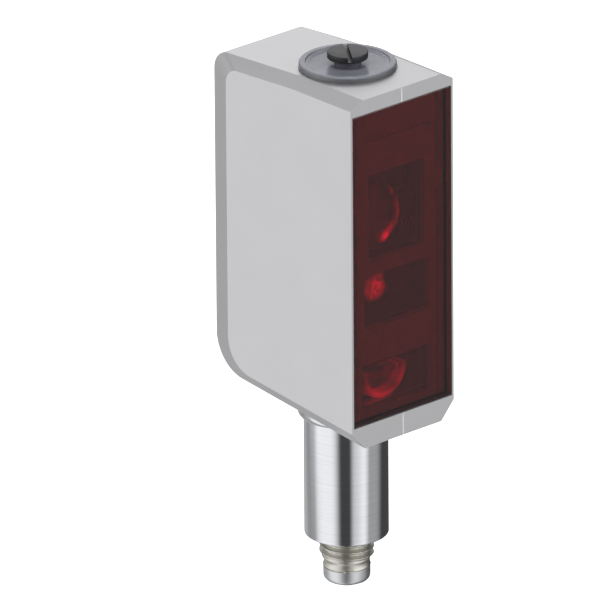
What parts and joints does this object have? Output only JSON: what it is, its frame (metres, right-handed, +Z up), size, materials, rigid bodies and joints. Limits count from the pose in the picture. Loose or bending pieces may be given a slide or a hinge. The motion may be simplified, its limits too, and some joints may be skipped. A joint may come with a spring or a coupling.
{
  "type": "photoelectric sensor",
  "caption": "Block-shaped photoelectric sensor with a red front screen, slotted range adjuster, round mounting stem and threaded plug connector.",
  "frame": {"origin": "on the stem's axis at the shoulder where its straight wall meets the collar", "axes": "+Z up along the stem's axis through the housing, -Y the side that the optical window faces, +X across the housing"},
  "size_m": [0.0194, 0.0311, 0.0804],
  "materials": {
    "housing_steel": "fine blasted satin stainless steel",
    "mark_fill": "white paint filled hairline",
    "screen_red": "dark red transparent plastic, polished",
    "seal_black": "black rubber or adhesive",
    "indicator_clear": "clear grey moulded plastic",
    "spring_steel": "stamped spring steel",
    "brass": "turned brass",
    "knob_black": "black moulded plastic, satin",
    "turned_steel": "fine turned stainless steel, bright",
    "carrier_black": "black moulded plastic, matt",
    "lens_clear": "clear optical plastic",
    "lens_red": "red transparent plastic",
    "chip_black": "moulded electronic package",
    "board_green": "circuit board with solder resist",
    "led_clear": "pale yellow encapsulation",
    "wire_brown": "PVC insulation",
    "nickel": "nickel-plated brass, warm grey",
    "black_steel": "blackened steel rod",
    "gold_contact": "gold-plated contact"
  },
  "bodies": {
    "body": {"housing": "housing_steel", "axis_marks": "mark_fill", "front_screen": "screen_red", "screen_seal": "seal_black", "indicator_window": "indicator_clear", "window_oring": "seal_black", "window_clip": "spring_steel", "spindle_oring": "seal_black", "spindle_bush": "brass", "optics_carrier": "carrier_black", "guide_rods": "black_steel", "sender_lens": "lens_red", "near_lens": "lens_clear", "sender_led": "lens_red", "led_holder": "carrier_black", "far_receiver": "chip_black", "near_receiver": "chip_black", "main_board": "board_green", "board_chips": "chip_black", "board_screws": "turned_steel", "status_leds": "led_clear", "light_guide": "indicator_clear", "lead_wires": "wire_brown", "stem_tube": "turned_steel", "stem_oring": "seal_black", "connector_body": "nickel", "connector_oring": "seal_black", "snap_ring": "nickel", "contact_insert": "carrier_black", "contact_pins": "gold_contact"},
    "adjuster": {"adjuster_knob": "knob_black", "adjuster_spindle": "turned_steel", "spindle_clip": "spring_steel"},
    "carriage": {"lens_carriage": "carrier_black", "carriage_nut": "brass", "receiver_lens": "lens_clear"}
  },
  "joints": [
    {"name": "range_adjuster", "type": "hinge", "parent": "body", "child": "adjuster", "pos_m": [0, -0.0008, 0.0545], "axis": [0, 0, 1], "range_deg": [-1020, 780]},
    {"name": "lens_travel", "type": "slide", "parent": "body", "child": "carriage", "axis": [0, 0, 1], "range_m": [-0.00108, 0.00142]}
  ],
  "couplings": [
    {"joint": "range_adjuster", "follows": "lens_travel", "rad_per_m": -12566}
  ]
}
